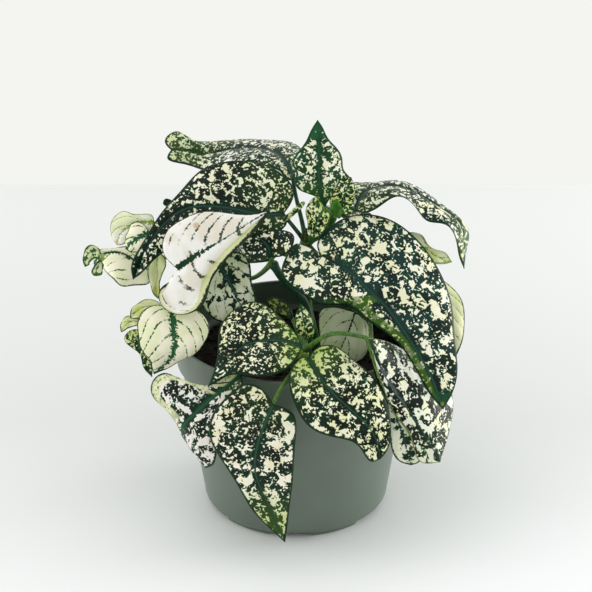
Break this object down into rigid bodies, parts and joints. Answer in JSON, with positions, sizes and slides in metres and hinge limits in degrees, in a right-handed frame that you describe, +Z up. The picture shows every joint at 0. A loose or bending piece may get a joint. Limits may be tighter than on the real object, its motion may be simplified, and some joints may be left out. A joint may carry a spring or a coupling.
{
  "type": "potted polka dot plant",
  "caption": "Bushy foliage plant with dark green leaves splashed with cream, in a round tapered plastic nursery pot with a straight collar.",
  "frame": {"origin": "on the ground under the middle of the whole plant's outline; the pot's axis stands 7.3 mm to +X and 1.7 mm to +Y of it", "axes": "+Z up, the pot stands on its foot ring at z = 0; -Y is the front, the side that the picture shows"},
  "size_m": [0.166, 0.1436, 0.1739],
  "materials": {
    "pot_plastic": "satin grey-green injection-moulded plastic",
    "potting_mix": "dark crumbly potting mix",
    "stem_green": "soft green stem",
    "splashed_leaf": "satin leaf, dark green splashed with cream",
    "white_leaf": "satin leaf, almost all white with green veins"
  },
  "bodies": {
    "root": {"pot": "pot_plastic", "soil": "potting_mix", "stem_main": "stem_green", "stem_middle": "stem_green", "stem_left": "stem_green", "stem_front": "stem_green", "stem_right": "stem_green", "leaf_top_upright": "splashed_leaf", "leaf_top_left": "splashed_leaf", "leaf_left_large": "splashed_leaf", "leaf_top_right": "splashed_leaf", "leaf_right_large": "splashed_leaf", "leaf_pale_middle": "splashed_leaf", "leaf_curled_middle": "splashed_leaf", "leaf_front_left": "splashed_leaf", "leaf_rim_left": "splashed_leaf", "leaf_rim_hanging": "splashed_leaf", "leaf_rim_right": "splashed_leaf", "leaf_right_folded": "splashed_leaf", "leaf_right_under": "splashed_leaf", "leaf_right_edge": "splashed_leaf", "leaf_right_curly": "splashed_leaf", "leaf_shade": "splashed_leaf", "leaf_back_left": "splashed_leaf", "leaf_back_high": "splashed_leaf", "leaf_back_right": "splashed_leaf", "leaf_back_hanging": "splashed_leaf", "leaf_back_low_left": "splashed_leaf", "leaf_back_low_right": "splashed_leaf", "leaf_white_large": "white_leaf", "leaf_white_end": "white_leaf", "leaf_white_upper": "white_leaf", "leaf_white_low": "white_leaf", "leaf_lime_narrow": "splashed_leaf"}
  },
  "joints": []
}
